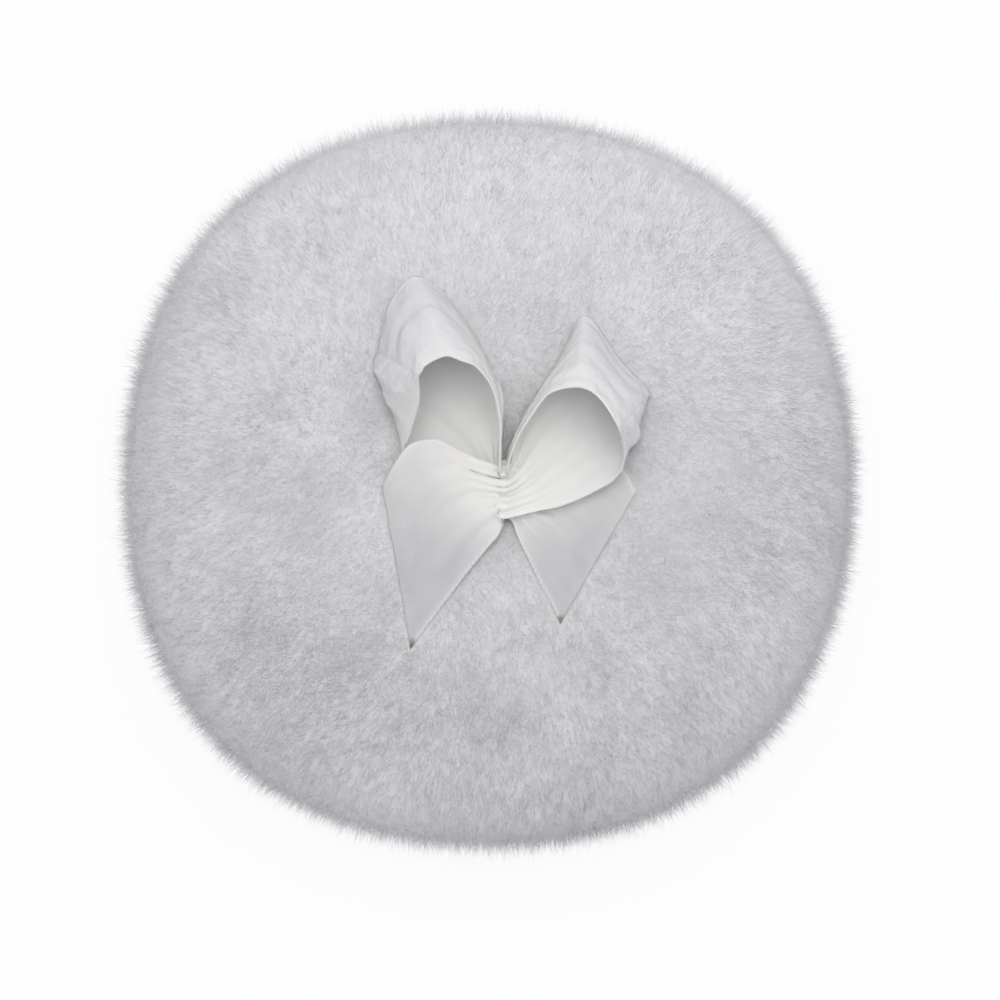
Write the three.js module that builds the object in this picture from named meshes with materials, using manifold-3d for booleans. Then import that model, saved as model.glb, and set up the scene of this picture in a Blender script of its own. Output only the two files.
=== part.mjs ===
// A round puff for body powder: two discs of long-pile plush sewn together at the rim and filled
// with loose fibre, and a bow of satin ribbon sewn to the crown.
// Lengths are in millimetres and +Z is up. The puff lies on its bottom cloth on z = 0, its seam
// is centred on the Z axis, and the bow's loops reach towards +Y.

import * as THREE from 'three';
import { mergeVertices } from 'three/addons/utils/BufferGeometryUtils.js';
import Module from 'manifold-3d';

const wasm = await Module();
wasm.setup();

// The puff, measured over the tips of its pile
const puffRadius = 47;
const puffHeight = 40;
const squarenessShare = 0.018; // how far the rim draws in at its four flatter sides
const crownPower = 2.3; // 2 gives an ellipse, more gives a fuller pillow
const restCut = 0.5; // depth of the flat that the puff rests on

// The plush cloth, with the raw edges turned in at the seam
const pileLength = 8;
const backingThickness = 1;
const seamAllowance = 5;
const partingDepth = 1.2; // where the pile of the two cloths parts over the seam
const clearance = 0.3; // between pieces that touch

// The crown is drawn in where the bow is sewn down
const dimpleDepth = 3.5;
const dimpleRadius = 12;
const pressedPile = 5; // length left to the pile under the bow

// Thread
const seamThread = 0.6;
const bowThread = 0.4;
const turningGap = 40; // length of the seam that is closed by hand after filling
const turningGapAngle = -Math.PI / 2;
const knotRadius = 0.9;

// The ribbon and its bow
const ribbonWidth = 16;
const ribbonThickness = 0.5;
const loopReach = 28; // from the waist to the far end of a loop
const tailReach = 23; // from the waist to the long corner of a tail
const waistWidth = 4.4; // the ribbon's width where the thread gathers it
const waistLength = 2.6;
const layerGap = 0.35; // between the layers of ribbon at the waist
const pleatDepth = 0.35;
const pleatCount = 3;
const turnSpacing = 1.5; // between the turns of the gathering thread
const threadEndAngle = 0.6; // how far each end of that thread stops short of the underside's middle
const cornerShare = 0.25; // the thread's sharpness at the corners of the waist: less is rounder
const bowX = 1.8;
const bowY = -2;

// How finely the forms are divided
const roundSteps = 48;
const outerRings = 9;
const dimpleRingShares = [0.22, 0.5]; // of the dimple's radius
const innerRings = 6;
const rowsPerKey = 2;
const ribbonColumns = 2 * pleatCount;
const threadSides = 6;
const seamSteps = 64;
const closingSteps = 12;
const turnSteps = 28;
const holeSides = 16;
const overrun = 5; // how far a cutting solid reaches past what it cuts

// Heights and radii that follow from the sizes above
const seamHeight = puffHeight / 2 - restCut;
const halfGap = clearance / 2;
const insideRadius = puffRadius - pileLength - backingThickness;
const seamRadius = insideRadius + backingThickness / 2;
const lipRadius = insideRadius - seamAllowance;
const channel = seamThread / 2 + clearance;
const lipTop = halfGap + backingThickness;
const outerCrown = puffHeight / 2 - halfGap - partingDepth;
const innerCrown = puffHeight / 2 - pileLength - backingThickness - lipTop;
const innerDimple = dimpleDepth - (pileLength - pressedPile);

// The rim is a circle drawn in at four sides: this is its radius as a share of the mean.
function rimShare(angle) {
  return 1 - squarenessShare * Math.cos(4 * angle);
}

// Height of a pillow's crown at a share of its radius: a superellipse.
function crownAt(share) {
  return (1 - Math.min(1, share) ** crownPower) ** (1 / crownPower);
}

// Depth to which the bow's stitch draws the crown in at a point, a bell curve about the waist.
function dimpleAt(x, y, depth) {
  const away = Math.hypot(x - bowX, y - bowY) / dimpleRadius;
  return depth * Math.exp(-away * away);
}

// Height of the top cloth's pile above z = 0.
function pileTop(x, y) {
  const share = Math.hypot(x, y) / (puffRadius * rimShare(Math.atan2(y, x)));
  const crown = halfGap + partingDepth + outerCrown * crownAt(share);
  return seamHeight + crown - dimpleAt(x, y, dimpleDepth);
}

// Height of the top cloth's inner face above z = 0.
function clothInside(x, y) {
  const share = Math.hypot(x, y) / (insideRadius * rimShare(Math.atan2(y, x)));
  return seamHeight + lipTop + innerCrown * crownAt(share) - dimpleAt(x, y, innerDimple);
}

function meshGeometry(positions, triangles) {
  const geometry = new THREE.BufferGeometry();
  geometry.setAttribute('position', new THREE.Float32BufferAttribute(positions, 3));
  geometry.setIndex(triangles);
  return geometry;
}

// A closed skin through rings of points, from a pole at its first end to a pole at its last.
function skinThroughRings(firstPole, rings, lastPole, turnedOver) {
  const count = rings[0].length;
  const positions = [...firstPole, ...rings.flat(2), ...lastPole];
  const last = rings.length * count + 1;
  const triangles = [];
  const add = (a, b, c) => triangles.push(...(turnedOver ? [a, c, b] : [a, b, c]));
  for (let j = 0; j < count; j += 1) {
    const next = (j + 1) % count;
    add(0, 1 + j, 1 + next);
    for (let i = 0; i + 1 < rings.length; i += 1) {
      const near = 1 + i * count;
      const far = near + count;
      add(near + j, far + j, far + next);
      add(near + j, far + next, near + next);
    }
    const end = last - count;
    add(end + j, last, end + next);
  }
  return meshGeometry(positions, triangles);
}

// A ring of the puff at a radius and a height from the seam plane, pressed in by a dimple.
function puffRing(radius, height, side, depth) {
  return Array.from({ length: roundSteps }, (unused, j) => {
    const angle = (2 * Math.PI * j) / roundSteps;
    const x = radius * rimShare(angle) * Math.cos(angle);
    const y = radius * rimShare(angle) * Math.sin(angle);
    return [x, y, seamHeight + side * (height - dimpleAt(x, y, depth))];
  });
}

// Rings of a crown from near its top to its rim, evenly spaced in the superellipse's angle.
function crownRings(radius, base, rise, side, depth, rings) {
  return Array.from({ length: rings }, (unused, i) => {
    const angle = (Math.PI / 2) * ((i + 1) / rings);
    const share = Math.sin(angle) ** (2 / crownPower);
    return puffRing(radius * share, base + rise * crownAt(share), side, depth);
  });
}

function pole(height, side, depth) {
  return [0, 0, seamHeight + side * (height - dimpleAt(0, 0, depth))];
}

// One plush cloth: the pile's crown outside, the turned-in seam allowance as a lip at the rim,
// a channel for the seam's thread, and the knit's inner face.
function plushCloth(side, outerDepth, innerDepth) {
  const ring = (radius, height) => puffRing(radius, height, side, 0);
  const crownBase = halfGap + partingDepth;
  const dimpleRings = dimpleRingShares.map((share) => {
    const radius = share * dimpleRadius;
    const height = crownBase + outerCrown * crownAt(radius / puffRadius);
    return puffRing(radius, height, side, outerDepth);
  });
  const rings = [
    ...dimpleRings,
    ...crownRings(puffRadius, crownBase, outerCrown, side, outerDepth, outerRings),
    ring(puffRadius - partingDepth, halfGap),
    ring(seamRadius + channel, halfGap),
    ring(seamRadius + channel, channel),
    ring(seamRadius - channel, channel),
    ring(seamRadius - channel, halfGap),
    ring(lipRadius, halfGap),
    ring(lipRadius, lipTop),
    ...crownRings(insideRadius, lipTop, innerCrown, side, innerDepth, innerRings).reverse(),
  ];
  const top = pole(crownBase + outerCrown, side, outerDepth);
  const inside = pole(lipTop + innerCrown, side, innerDepth);
  return skinThroughRings(top, rings, inside, side < 0);
}

// The filling: a pillow inside the cloths, with a groove at the rim for the seam allowance.
function fillingPad() {
  const radius = insideRadius - 2 * clearance;
  const rise = innerCrown - 3 * clearance;
  const base = lipTop + clearance;
  const rings = [
    ...crownRings(radius, base, rise, 1, innerDimple, innerRings),
    puffRing(lipRadius - clearance, base, 1, 0),
    puffRing(lipRadius - clearance, base, -1, 0),
    ...crownRings(radius, base, rise, -1, 0, innerRings).reverse(),
  ];
  return skinThroughRings(pole(base + rise, 1, innerDimple), rings, pole(base + rise, -1, 0), false);
}

function toSolid(geometry) {
  const bare = new THREE.BufferGeometry();
  bare.setAttribute('position', geometry.getAttribute('position'));
  bare.setIndex(geometry.getIndex());
  const merged = mergeVertices(bare);
  return new wasm.Manifold(new wasm.Mesh({
    numProp: 3,
    vertProperties: new Float32Array(merged.getAttribute('position').array),
    triVerts: new Uint32Array(merged.getIndex().array),
  }));
}

function toGeometry(solid) {
  const mesh = solid.getMesh();
  return meshGeometry(Array.from(mesh.vertProperties), Array.from(mesh.triVerts));
}

// An upright cylinder between two heights, for cutting.
function post(x, y, radius, low, high) {
  const geometry = new THREE.CylinderGeometry(radius, radius, high - low, holeSides);
  geometry.rotateX(Math.PI / 2);
  geometry.translate(x, y, (low + high) / 2);
  return toSolid(geometry);
}

// A thread of round section along a path.
function threadAlong(points, diameter, steps) {
  const section = new THREE.Shape(Array.from({ length: threadSides }, (unused, k) => {
    const angle = (2 * Math.PI * k) / threadSides;
    return new THREE.Vector2(Math.cos(angle), Math.sin(angle)).multiplyScalar(diameter / 2);
  }));
  const extrudePath = new THREE.CatmullRomCurve3(points, false, 'centripetal');
  return new THREE.ExtrudeGeometry(section, { steps, bevelEnabled: false, extrudePath });
}

// A stretch of the rim seam between two angles.
function seamStretch(from, to, steps) {
  const points = Array.from({ length: steps + 1 }, (unused, k) => {
    const angle = from + ((to - from) * k) / steps;
    const radius = seamRadius * rimShare(angle);
    return new THREE.Vector3(radius * Math.cos(angle), radius * Math.sin(angle), seamHeight);
  });
  return threadAlong(points, seamThread, steps);
}

// The ribbon's layers at the waist are stacked over the gathering thread.
const seatLift = clearance + ribbonThickness / 2;
const layerPitch = ribbonThickness + layerGap;
const waistPleat = pleatDepth * (1 - waistWidth / ribbonWidth);
const bundleHalfWidth = waistWidth / 2 + ribbonThickness;
const waistRise = Math.max(...[-1, 1].map((side) => (
  pileTop(bowX - turnSpacing / 2, bowY + side * (bundleHalfWidth + bowThread))
))) - pileTop(bowX, bowY);
const lowestLayer = 2 * clearance + bowThread + ribbonThickness / 2 + waistPleat + waistRise;

// A key of the ribbon holds its middle line, the way across it from the far selvedge to the near
// one, and how far it curls off the straight line across. Shares of the reach place the middle,
// and shares of the width give its height over the pile, the way across and the curl.
function keyFrom(reach, [mx, my, lift, ax, ay, rise, curl]) {
  return {
    middle: new THREE.Vector3(mx * reach, my * reach, seatLift + lift * ribbonWidth),
    across: new THREE.Vector3(ax, ay, rise).multiplyScalar(ribbonWidth),
    curl: curl * ribbonWidth,
  };
}

// The two ends of the narrow waist, for one of the three layers that pass it.
function waistKeys(layer, direction) {
  const lift = lowestLayer + layer * layerPitch;
  return [-1, 1].map((end) => ({
    middle: new THREE.Vector3((direction * end * waistLength) / 2, 0, lift),
    across: new THREE.Vector3(0, -waistWidth, 0),
    curl: 0,
  }));
}

// Each row: middle x, y as shares of the reach, height; across x, y, rise as shares of the
// width; curl.
const leftTailShares = [
  [-0.575, -0.433, 0.08, 0.215, -1.254, -0.09, 0],
  [-0.45, -0.25, 0.11, 0.38, -1.08, -0.13, 0],
  [-0.33, -0.1, 0.145, 0.47, -0.94, -0.17, 0],
  [-0.2, -0.015, 0.18, 0.42, -0.75, -0.17, 0],
  [-0.12, -0.005, 0.2, 0.13, -0.52, -0.08, 0],
];
const rightLoopShares = [
  [0.105, 0.02, 0.15, 0.13, -0.42, 0, 0],
  [0.16, 0.09, 0.13, 0.29, -0.63, 0.03, 0],
  [0.255, 0.18, 0.13, 0.3, -0.82, 0.06, 0],
  [0.42, 0.28, 0.15, 0.14, -0.96, 0.12, 0],
  [0.555, 0.305, 0.19, -0.11, -0.83, 0.25, 0.06],
  [0.6, 0.295, 0.27, -0.16, -0.6, 0.47, 0.1],
  [0.595, 0.295, 0.41, -0.215, -0.38, 0.74, 0.05],
  [0.57, 0.32, 0.53, -0.24, -0.31, 0.9, 0],
  [0.475, 0.45, 0.56, -0.17, -0.36, 0.9, 0],
  [0.345, 0.58, 0.56, -0.06, -0.62, 0.8, 0],
  [0.23, 0.485, 0.5, -0.11, -0.37, 0.78, 0],
  [0.14, 0.385, 0.41, -0.11, -0.31, 0.6, 0],
  [0.075, 0.255, 0.32, -0.05, -0.24, 0.32, 0],
  [0.055, 0.1, 0.26, 0, -0.26, 0.12, 0],
];
const leftLoopShares = [
  [-0.068, 0.1, 0.26, 0.01, -0.26, 0.12, 0],
  [-0.03, 0.23, 0.31, 0.03, -0.22, 0.24, 0],
  [-0.012, 0.345, 0.36, 0.06, -0.27, 0.38, 0],
  [-0.067, 0.505, 0.43, 0.14, -0.34, 0.6, 0],
  [-0.155, 0.635, 0.51, 0.16, -0.48, 0.75, 0],
  [-0.247, 0.725, 0.565, 0.215, -0.6, 0.8, 0],
  [-0.326, 0.755, 0.58, 0.26, -0.6, 0.76, 0],
  [-0.42, 0.675, 0.555, 0.31, -0.45, 0.82, 0],
  [-0.463, 0.55, 0.515, 0.31, -0.16, 0.84, 0],
  [-0.47, 0.47, 0.37, 0.375, -0.32, 0.64, 0.1],
  [-0.485, 0.435, 0.21, 0.29, -0.655, 0.36, 0.15],
  [-0.475, 0.415, 0.09, 0.11, -0.91, 0.14, 0.03],
  [-0.345, 0.35, 0.03, -0.28, -0.92, 0.02, 0],
  [-0.22, 0.235, 0.02, -0.5, -0.68, 0, 0],
  [-0.125, 0.105, 0.03, -0.22, -0.46, 0, 0],
];
const rightTailShares = [
  [0.12, -0.055, 0.03, -0.2, -0.38, 0, 0],
  [0.2, -0.1, 0.01, -0.34, -0.5, 0, 0],
  [0.315, -0.135, 0.015, -0.52, -0.72, 0, 0],
  [0.42, -0.21, 0.02, -0.61, -0.95, 0, 0],
  [0.513, -0.376, 0.04, -0.59, -1.03, -0.02, 0],
];

// The ribbon runs from the left tail through the waist into the right loop's lower layer, back
// over the top of both loops, and out under the waist as the right tail.
function ribbonKeys() {
  return [
    ...leftTailShares.map((row) => keyFrom(tailReach, row)),
    ...waistKeys(1, 1),
    ...rightLoopShares.map((row) => keyFrom(loopReach, row)),
    ...waistKeys(2, -1),
    ...leftLoopShares.map((row) => keyFrom(loopReach, row)),
    ...waistKeys(0, 1),
    ...rightTailShares.map((row) => keyFrom(tailReach, row)),
  ];
}

// The ribbon's mid-surface: a line across at each row, curled outwards at its middle, lifted off
// the pile, with pleats as deep as the width is gathered.
function ribbonRows() {
  const keys = ribbonKeys();
  const middle = new THREE.CatmullRomCurve3(keys.map((key) => key.middle), false, 'centripetal');
  const across = new THREE.CatmullRomCurve3(keys.map((key) => key.across), false, 'centripetal');
  const rows = (keys.length - 1) * rowsPerKey;
  return Array.from({ length: rows + 1 }, (unused, i) => {
    const centre = middle.getPoint(i / rows);
    const way = across.getPoint(i / rows);
    const before = keys[Math.floor(i / rowsPerKey)].curl;
    const after = keys[Math.ceil(i / rowsPerKey)].curl;
    const curl = THREE.MathUtils.lerp(before, after, (i % rowsPerKey) / rowsPerKey);
    const outward = middle.getTangent(i / rows).cross(way).normalize();
    const gathered = Math.max(0, 1 - way.length() / ribbonWidth);
    return Array.from({ length: ribbonColumns + 1 }, (alsoUnused, j) => {
      const share = j / ribbonColumns;
      const point = centre.clone().addScaledVector(way, share - 1 / 2);
      point.addScaledVector(outward, 4 * curl * share * (1 - share));
      const pleat = pleatDepth * gathered * Math.cos(2 * Math.PI * pleatCount * share);
      const x = bowX + point.x;
      const y = bowY + point.y;
      return new THREE.Vector3(x, y, pileTop(x, y) + point.z + pleat);
    });
  });
}

// The ribbon as a solid: its mid-surface moved half a thickness to each side, closed by the
// selvedges and the cut ends.
function ribbonSolid() {
  const rows = ribbonRows();
  const lastRow = rows.length - 1;
  const sections = rows.map((row, i) => {
    const faces = row.map((point, j) => {
      const along = new THREE.Vector3().subVectors(
        rows[Math.min(i + 1, lastRow)][j],
        rows[Math.max(i - 1, 0)][j],
      );
      const sideways = new THREE.Vector3().subVectors(
        row[Math.min(j + 1, ribbonColumns)],
        row[Math.max(j - 1, 0)],
      );
      const normal = sideways.cross(along).setLength(ribbonThickness / 2);
      return [point.clone().add(normal), point.clone().sub(normal)];
    });
    const upper = faces.map((pair) => pair[0]);
    const lower = faces.map((pair) => pair[1]).reverse();
    return [...upper, ...lower];
  });
  const count = sections[0].length;
  const triangles = [];
  const quad = (a, b, c, d) => triangles.push(a, b, c, a, c, d);
  for (let i = 0; i < lastRow; i += 1) {
    for (let j = 0; j < count; j += 1) {
      const next = (j + 1) % count;
      quad(i * count + j, i * count + next, (i + 1) * count + next, (i + 1) * count + j);
    }
  }
  const end = lastRow * count;
  for (let j = 0; j < ribbonColumns; j += 1) {
    const under = count - 1 - j;
    quad(j, under, under - 1, j + 1);
    quad(end + j, end + j + 1, end + under - 1, end + under);
  }
  return meshGeometry(sections.flat().flatMap((point) => point.toArray()), triangles);
}

// The gathering thread and the tack pass round the bundle of layers at this distance from it.
const threadOffset = clearance + bowThread / 2;
const bundleMiddle = pileTop(bowX, bowY) + lowestLayer + layerPitch + waistRise / 2;
const bundleHalfHeight = layerPitch + ribbonThickness / 2 + waistPleat + waistRise / 2;

// A point on a round-cornered box about the bundle, seen along X, in the direction of an angle.
function roundBundle(x, angle) {
  const spread = (value) => THREE.MathUtils.clamp(value / cornerShare, -1, 1);
  const across = Math.cos(angle);
  const up = Math.sin(angle);
  return new THREE.Vector3(
    bowX + x,
    bowY + bundleHalfWidth * spread(across) + threadOffset * across,
    bundleMiddle + bundleHalfHeight * spread(up) + threadOffset * up,
  );
}

// Two turns round the waist. They step sideways under it, and leave room between them on top
// for the tack.
function gatheringThread() {
  const steps = 2 * turnSteps;
  const from = -Math.PI / 2 + threadEndAngle;
  const sweep = 4 * Math.PI - 2 * threadEndAngle;
  const points = Array.from({ length: steps + 1 }, (unused, k) => {
    const angle = from + (sweep * k) / steps;
    const crossing = (angle - (3 * Math.PI) / 2) / threadEndAngle;
    const side = THREE.MathUtils.smoothstep(crossing, -1, 1) - 1 / 2;
    return roundBundle(turnSpacing * side, angle);
  });
  return { points, geometry: threadAlong(points, bowThread, steps) };
}

// The tack goes over the waist, down through the top cloth on both sides and into a knot.
const legReach = bundleHalfWidth + threadOffset;
const knotHeight = clothInside(bowX, bowY) - 2 * clearance - knotRadius;

function tackThread() {
  const leg = (side, height, reach) => new THREE.Vector3(bowX, bowY + side * reach, height);
  const over = Array.from({ length: turnSteps / 2 + 1 }, (unused, k) => (
    roundBundle(0, (Math.PI * k) / (turnSteps / 2))
  ));
  const points = [
    leg(1, knotHeight, bowThread),
    leg(1, knotHeight, legReach - bowThread),
    leg(1, knotHeight + bowThread, legReach),
    leg(1, knotHeight + knotRadius, legReach),
    leg(1, bundleMiddle - bundleHalfHeight, legReach),
    ...over,
    leg(-1, bundleMiddle - bundleHalfHeight, legReach),
    leg(-1, knotHeight + knotRadius, legReach),
    leg(-1, knotHeight + bowThread, legReach),
    leg(-1, knotHeight, legReach - bowThread),
    leg(-1, knotHeight, bowThread),
  ];
  const knot = new THREE.IcosahedronGeometry(knotRadius, 1);
  knot.translate(bowX, bowY, knotHeight);
  return toGeometry(toSolid(threadAlong(points, bowThread, 2 * turnSteps)).add(toSolid(knot)));
}

// The top cloth has a hole for each leg of the tack.
function topCloth() {
  const radius = bowThread / 2 + clearance;
  const holes = [-1, 1].map((side) => (
    post(bowX, bowY + side * legReach, radius, knotHeight - overrun, bundleMiddle + overrun)
  ));
  const cloth = toSolid(plushCloth(1, dimpleDepth, innerDimple));
  return toGeometry(cloth.subtract(holes[0]).subtract(holes[1]));
}

// The bottom cloth is flat where the puff rests.
function bottomCloth() {
  const size = 2 * puffRadius + 2 * overrun;
  const slab = new THREE.BoxGeometry(size, size, overrun);
  slab.translate(0, 0, -overrun / 2);
  return toGeometry(toSolid(plushCloth(-1, 0, 0)).subtract(toSolid(slab)));
}

// The filling parts round the tack's knot.
function filling() {
  const low = knotHeight - knotRadius - clearance;
  const radius = legReach + bowThread + clearance;
  const pocket = post(bowX, bowY, radius, low, knotHeight + knotRadius + overrun);
  return toGeometry(toSolid(fillingPad()).subtract(pocket));
}

const part = new THREE.Group();

function addPiece(name, geometry, color, roughness) {
  const material = new THREE.MeshStandardMaterial({ color, roughness, metalness: 0 });
  const mesh = new THREE.Mesh(geometry, material);
  mesh.name = name;
  part.add(mesh);
}

const plushWhite = 0xdcdce0;
const satinWhite = 0xe9e9e6;
const threadWhite = 0xe6e6e4;
const fibreWhite = 0xe8e8e8;
const halfTurningGap = turningGap / (2 * seamRadius);
const threadEnds = (clearance + seamThread) / seamRadius;
const seamFrom = turningGapAngle + halfTurningGap;
const seamTo = turningGapAngle + 2 * Math.PI - halfTurningGap;
const closingFrom = turningGapAngle - halfTurningGap + threadEnds;
const closingTo = turningGapAngle + halfTurningGap - threadEnds;
const gathering = gatheringThread();

addPiece('top_plush', topCloth(), plushWhite, 0.95);
addPiece('bottom_plush', bottomCloth(), plushWhite, 0.95);
addPiece('fibre_filling', filling(), fibreWhite, 1);
addPiece('rim_seam_thread', seamStretch(seamFrom, seamTo, seamSteps), threadWhite, 0.7);
addPiece('closing_thread', seamStretch(closingFrom, closingTo, closingSteps), threadWhite, 0.7);
addPiece('bow_ribbon', ribbonSolid(), satinWhite, 0.35);
addPiece('bow_gathering_thread', gathering.geometry, threadWhite, 0.6);
addPiece('bow_tack_thread', tackThread(), threadWhite, 0.6);

// The least space between the two turns of the gathering thread, measured on its path.
function leastGap(points, diameter, apart) {
  let least = Infinity;
  points.forEach((a, i) => {
    points.slice(i + apart).forEach((b) => {
      least = Math.min(least, a.distanceTo(b) - diameter);
    });
  });
  return least;
}

const turnGap = leastGap(gathering.points, bowThread, turnSteps / 2);
console.log(`gathering thread: least gap between its turns ${turnGap.toFixed(2)} mm`);

export default part;
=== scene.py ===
# %% [markdown]
# A round powder puff with a ribbon bow
#
# The real object is a soft pad of long white plush, as wide as a hand, with a bow of white satin
# ribbon sewn to its crown. Everything here is soft, so every form is a formula that follows the
# same named sizes as the CAD model: a pillow for the pad, hairs sown over it, and one ribbon that
# is led three times through its own waist. Lengths are in metres, and mm is one millimetre.

# %% The frame
import math
import bpy
import numpy as np
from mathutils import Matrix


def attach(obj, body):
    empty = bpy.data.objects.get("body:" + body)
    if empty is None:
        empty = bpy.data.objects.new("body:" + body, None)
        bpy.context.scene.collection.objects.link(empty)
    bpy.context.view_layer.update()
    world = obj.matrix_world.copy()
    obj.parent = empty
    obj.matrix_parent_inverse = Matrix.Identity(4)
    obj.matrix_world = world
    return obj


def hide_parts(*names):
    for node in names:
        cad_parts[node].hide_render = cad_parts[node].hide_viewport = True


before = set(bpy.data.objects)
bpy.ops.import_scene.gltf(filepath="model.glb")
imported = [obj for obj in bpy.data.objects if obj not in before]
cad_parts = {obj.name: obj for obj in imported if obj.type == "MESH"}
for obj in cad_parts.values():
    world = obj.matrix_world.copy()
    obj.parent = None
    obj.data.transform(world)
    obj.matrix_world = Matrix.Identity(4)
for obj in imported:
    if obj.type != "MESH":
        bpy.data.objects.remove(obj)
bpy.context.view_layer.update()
mm = 0.001
print("CAD nodes:", sorted(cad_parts))

# %% [markdown]
# The camera
#
# The photograph looks almost straight down on the puff: its bow is seen in plan, but the loops'
# upper edges lean a little away. A long lens a metre off keeps that flat look. The aim point and
# the distance come from one scale: how much of the object's middle plane one pixel covers.

# %% Camera
picture_pixels = 1000
pixel = 0.1263 * mm  # what one pixel covers at the puff's middle height
camera_distance = 1.0
camera_tilt = math.radians(4)  # away from straight down
aim = np.array([1.39 * mm, -2.27 * mm, 19.5 * mm])

camera_data = bpy.data.cameras.new("camera")
camera_data.sensor_width = 36
camera_data.lens = camera_data.sensor_width * camera_distance / (picture_pixels * pixel)
camera = bpy.data.objects.new("camera", camera_data)
camera.rotation_euler = (camera_tilt, 0, 0)
view_from = np.array([0, -math.sin(camera_tilt), math.cos(camera_tilt)])
camera.location = aim + camera_distance * view_from
bpy.context.scene.collection.objects.link(camera)
bpy.context.scene.camera = camera
print("lens", round(camera_data.lens, 1), "mm")

# %% [markdown]
# Floor and light
#
# White on white only reads through its shading, and here the shading is slight. An even sky and a
# large window high above do most of the lighting and reach into the bow's loops. A small window
# low beyond the picture's top edge gives the satin its highlights. The floor shows itself to the
# camera mostly as plain white, and keeps a faint part of the puff's shadow. Its own tint colours
# the puff's rim.

# %% One shader node


def shader_node(tree, kind, values=None, **settings):
    """A new node of a material, with its own settings, and its inputs set to a value or wired to
    another node's output."""
    node = tree.nodes.new("ShaderNode" + kind)
    for name, setting in settings.items():
        setattr(node, name, setting)
    for name, value in (values or {}).items():
        if isinstance(value, bpy.types.NodeSocket):
            tree.links.new(value, node.inputs[name])
        else:
            node.inputs[name].default_value = value
    return node


# %% Floor
floor_mesh = bpy.data.meshes.new("floor")
floor_half = 3.0
square = [(-1, -1), (1, -1), (1, 1), (-1, 1)]
floor_mesh.from_pydata([(x * floor_half, y * floor_half, 0) for x, y in square], [], [range(4)])
floor = bpy.data.objects.new("floor", floor_mesh)
bpy.context.scene.collection.objects.link(floor)

floor_finish = bpy.data.materials.new("white_floor")
floor_finish.use_nodes = True
tree = floor_finish.node_tree
tree.nodes.clear()
painted = shader_node(tree, "BsdfDiffuse", {"Color": (0.85, 0.82, 0.9, 1)})
glow = shader_node(tree, "Emission", {"Color": (1, 1, 1, 1)})
rays = shader_node(tree, "LightPath").outputs
either = {0: rays["Is Camera Ray"], 1: rays["Is Glossy Ray"]}
seen = shader_node(tree, "Math", either, operation="MAXIMUM")
most = {0: seen.outputs[0], 1: 0.93}  # the rest shows the shadow
whiteness = shader_node(tree, "Math", most, operation="MULTIPLY")
both = {"Fac": whiteness.outputs[0], 1: painted.outputs[0], 2: glow.outputs[0]}
blend = shader_node(tree, "MixShader", both)
shader_node(tree, "OutputMaterial", {"Surface": blend.outputs[0]})
floor_mesh.materials.append(floor_finish)
print("floor of", 2 * floor_half, "m")

# %% Light
world = bpy.data.worlds.new("sky")
world.use_nodes = True
sky = world.node_tree.nodes["Background"]
sky.inputs["Color"].default_value = (0.985, 0.97, 1, 1)
sky.inputs["Strength"].default_value = 0.7
bpy.context.scene.world = world
bpy.context.scene.view_settings.view_transform = "Standard"


def window(name, place, side, watts):
    """A square area lamp at a place, turned to face the puff: tilted by the angle between upright
    and the line to it, then turned about the upright."""
    lamp = bpy.data.lights.new(name, "AREA")
    lamp.shape = "SQUARE"
    lamp.size = side
    lamp.energy = watts
    held = bpy.data.objects.new(name, lamp)
    away = np.array(place) - aim
    flat = math.hypot(*away[:2])
    held.location = place
    held.rotation_euler = (math.atan2(flat, away[2]), 0, math.atan2(away[0], -away[1]))
    bpy.context.scene.collection.objects.link(held)
    print(name, watts, "W")


window("key_window", (0.08, 0.98, 0.34), 0.2, 1.1)
window("overhead_window", (0.02, 0.2, 1.22), 0.6, 6.1)

# %% [markdown]
# Helpers for surfaces
#
# Every new piece is worked out as numpy arrays of points and faces. Blender takes them whole, which
# is quick even for a million faces. Most pieces, such as a pillow or a thread, are closed skins.

# %% Surfaces from arrays
wave_count = 14


def new_piece(name, points, faces, finish, slot):
    """A piece from points (n, 3) and a list of face arrays (m, 3) or (m, 4)."""
    mesh = bpy.data.meshes.new(name)
    corners = np.concatenate([f.ravel() for f in faces]).astype(np.int32)
    sizes = np.concatenate([np.full(len(f), f.shape[1]) for f in faces])
    mesh.vertices.add(len(points))
    mesh.vertices.foreach_set("co", np.ascontiguousarray(points, np.float32).ravel())
    mesh.loops.add(len(corners))
    mesh.loops.foreach_set("vertex_index", corners)
    mesh.polygons.add(len(sizes))
    starts = np.concatenate([[0], np.cumsum(sizes)[:-1]]).astype(np.int32)
    mesh.polygons.foreach_set("loop_start", starts)
    mesh.update(calc_edges=True)
    mesh.polygons.foreach_set("use_smooth", np.full(len(sizes), True))
    for one in finish if isinstance(finish, list) else [finish]:
        mesh.materials.append(one)
    piece = bpy.data.objects.new(name, mesh)
    bpy.context.scene.collection.objects.link(piece)
    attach(piece, "root")
    print(name, "triangles", int((sizes - 2).sum()))
    return piece


def carry(piece, name, values, kind="FLOAT", field="value"):
    """Puts a value for every point of a piece's mesh on it, for its material or its shading."""
    held = piece.data.attributes.new(name, kind, "POINT")
    held.data.foreach_set(field, np.ascontiguousarray(values, np.float32).ravel())


def side_faces(r, c):
    """Faces between r rings of c points each, from every ring to the next."""
    i, j = np.meshgrid(np.arange(r - 1), np.arange(c), indexing="ij")
    k = (j + 1) % c
    return np.stack([i * c + j, (i + 1) * c + j, (i + 1) * c + k, i * c + k], -1).reshape(-1, 4)


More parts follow.
